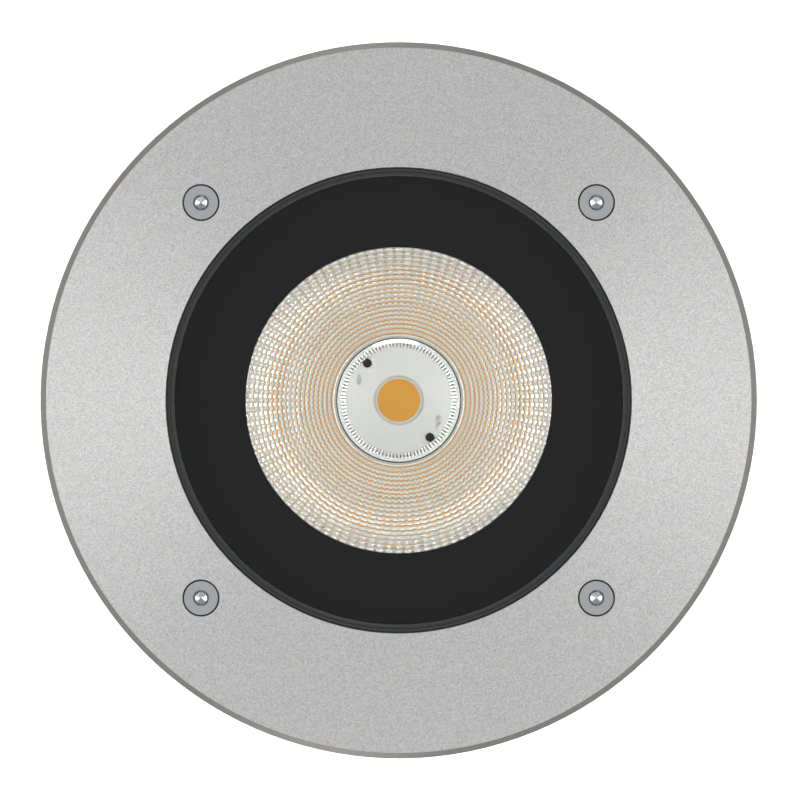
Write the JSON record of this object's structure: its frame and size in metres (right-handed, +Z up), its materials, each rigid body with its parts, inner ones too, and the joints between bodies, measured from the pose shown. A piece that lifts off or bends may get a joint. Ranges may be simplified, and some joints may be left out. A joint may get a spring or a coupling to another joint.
{
  "type": "in-ground well light",
  "caption": "Round in-ground well light with a flat bevelled face ring, black-bordered flush glass, faceted reflector and an aimable optic in a ribbed barrel.",
  "frame": {"origin": "centre of the foot's standing face", "axes": "+Z up through the glass, X along the tilt axis, the cable gland faces -Y"},
  "size_m": [0.25, 0.25, 0.2122],
  "materials": {
    "ring_metal": "bead-blasted stainless steel",
    "screw_steel": "plain stainless steel",
    "clear_glass": "clear tempered glass",
    "border_black": "fired black enamel",
    "silicone": "black silicone",
    "housing_paint": "textured black powder coat over die-cast aluminium",
    "sheet_zinc": "zinc-plated steel sheet",
    "driver_case": "moulded case",
    "terminal_plastic": "moulded polyamide",
    "gland_plastic": "moulded polyamide",
    "brass": "plain",
    "frame_alu": "die cast, plain",
    "sink_alu": "extruded, plain",
    "mirror_metal": "vacuum-metallised facets",
    "retainer_black": "matt black",
    "pad_grey": "thermal pad",
    "board_white": "white ceramic board",
    "phosphor": "phosphor, unlit",
    "holder_grey": "moulded PBT",
    "contact_tin": "tin plated",
    "dark_screw": "black oxide"
  },
  "bodies": {
    "housing": {"trim_ring": "ring_metal", "cover_screws": "screw_steel", "glass_lens": "clear_glass", "glass_border": "border_black", "glass_gasket": "silicone", "housing_flange": "housing_paint", "flange_seal": "silicone", "flange_screws": "screw_steel", "housing": "housing_paint", "gear_case": "housing_paint", "case_seal": "silicone", "case_screws": "screw_steel", "gear_tray": "sheet_zinc", "tray_screws": "screw_steel", "tray_grommet": "silicone", "driver": "driver_case", "driver_screws": "screw_steel", "terminal_block": "terminal_plastic", "terminal_screws": "brass", "earth_screw": "brass", "gland_body": "gland_plastic", "gland_washer": "silicone", "gland_seal": "silicone", "gland_nut": "gland_plastic", "gland_locknut": "gland_plastic", "breather_plug": "gland_plastic", "breather_seal": "silicone", "swivel_brackets": "frame_alu", "bracket_screws": "screw_steel", "swivel_clips": "sheet_zinc", "clip_screws": "screw_steel"},
    "swivel": {"swivel_ring": "sheet_zinc"},
    "optic": {"optic_frame": "frame_alu", "pivot_screws": "screw_steel", "stop_pins": "screw_steel", "heat_sink": "sink_alu", "sink_screws": "screw_steel", "thermal_pad": "pad_grey", "cob_substrate": "board_white", "cob_phosphor": "phosphor", "cob_holder": "holder_grey", "holder_screws": "dark_screw", "contact_springs": "contact_tin", "reflector": "mirror_metal", "reflector_retainer": "retainer_black", "retainer_screws": "dark_screw"}
  },
  "joints": [
    {"name": "swivel_turn", "type": "hinge", "parent": "housing", "child": "swivel", "pos_m": [0, 0, 0.15435], "axis": [0, 0, 1], "range_deg": [-175, 175]},
    {"name": "optic_tilt", "type": "hinge", "parent": "swivel", "child": "optic", "pos_m": [0, 0, 0.17235], "axis": [1, 0, 0], "range_deg": [-15, 15]}
  ]
}
